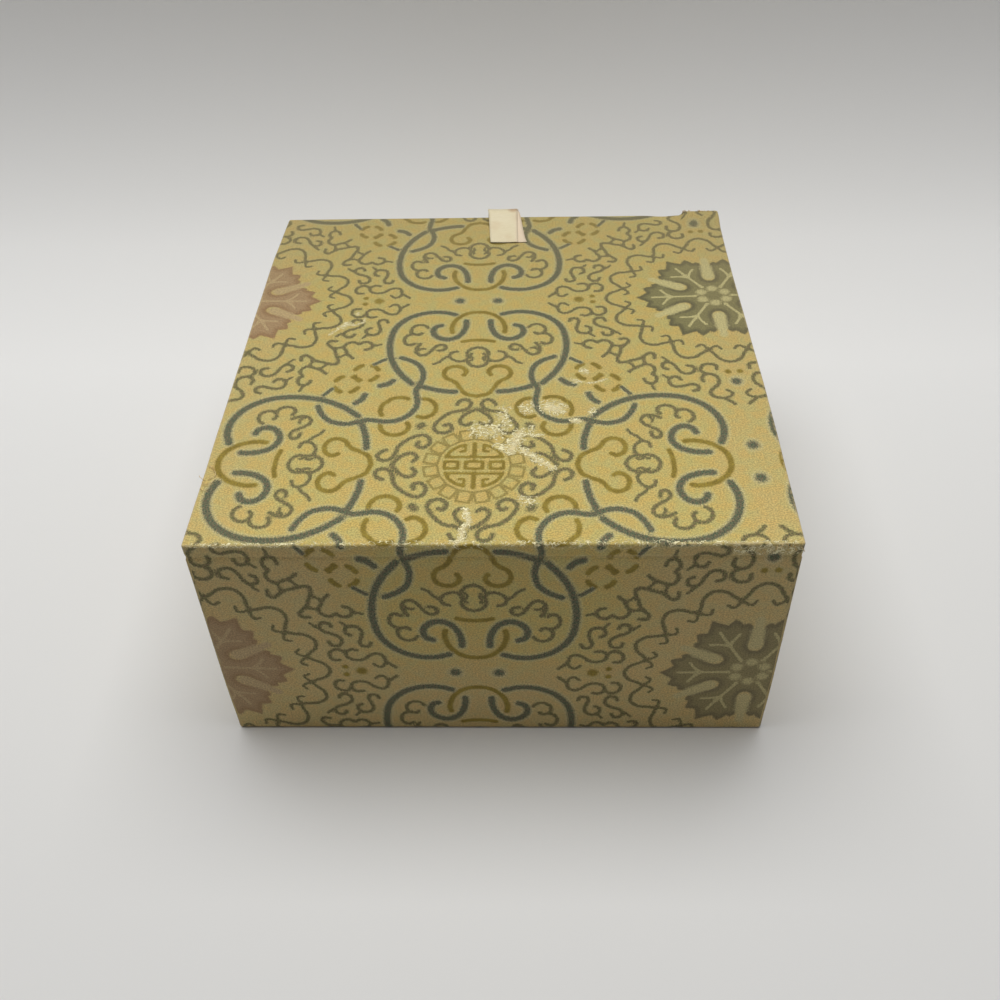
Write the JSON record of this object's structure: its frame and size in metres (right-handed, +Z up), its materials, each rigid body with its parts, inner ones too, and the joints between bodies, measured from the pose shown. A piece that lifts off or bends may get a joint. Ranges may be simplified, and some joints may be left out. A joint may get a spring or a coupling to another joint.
{
  "type": "brocade gift box",
  "caption": "Low square keepsake box wrapped in patterned silk brocade, with a flat lid on a cloth hinge, a ribbon pull tab and a satin-lined cavity.",
  "frame": {"origin": "middle of the flat underside on which the box rests", "axes": "+Z up, +X along the hinge, +Y from the hinge side to the opening side with the pull tab"},
  "size_m": [0.11, 0.1204, 0.0572],
  "materials": {
    "brocade": "gold-khaki silk brocade with dark blue-grey, olive and ochre figure, satin ground, worn at the folds",
    "greyboard": "raw grey paperboard",
    "thin_card": "raw card",
    "backing_paper": "plain matt laid paper",
    "satin": "cream-gold satin, soft sheen",
    "wadding": "loose cotton wadding",
    "ribbon": "cream satin ribbon, plain woven edges"
  },
  "bodies": {
    "base": {"floor_board": "greyboard", "hinge_wall_board": "greyboard", "opening_wall_board": "greyboard", "left_wall_board": "greyboard", "right_wall_board": "greyboard", "hinge_wall_brocade": "brocade", "opening_wall_brocade": "brocade", "left_wall_brocade": "brocade", "right_wall_brocade": "brocade", "underside_paper": "backing_paper", "hinge_wall_lining": "satin", "opening_wall_lining": "satin", "left_wall_lining": "satin", "right_wall_lining": "satin", "floor_card": "thin_card", "floor_wadding": "wadding", "floor_satin": "satin", "hinge_brocade": "brocade", "hinge_lining": "satin"},
    "lid": {"lid_board": "greyboard", "lid_brocade": "brocade", "lid_card": "thin_card", "lid_wadding": "wadding", "lid_satin": "satin", "pull_tab_root": "ribbon"},
    "tab": {"pull_tab": "ribbon"}
  },
  "joints": [
    {"name": "lid_hinge", "type": "hinge", "parent": "base", "child": "lid", "pos_m": [0, -0.059, 0.0527], "axis": [1, 0, 0], "range_deg": [0, 175], "deforming": ["hinge_brocade", "hinge_lining"]},
    {"name": "tab_flip", "type": "hinge", "parent": "lid", "child": "tab", "pos_m": [0.0005, 0.0591, 0.05725], "axis": [-1, 0, 0], "range_deg": [0, 180]}
  ]
}
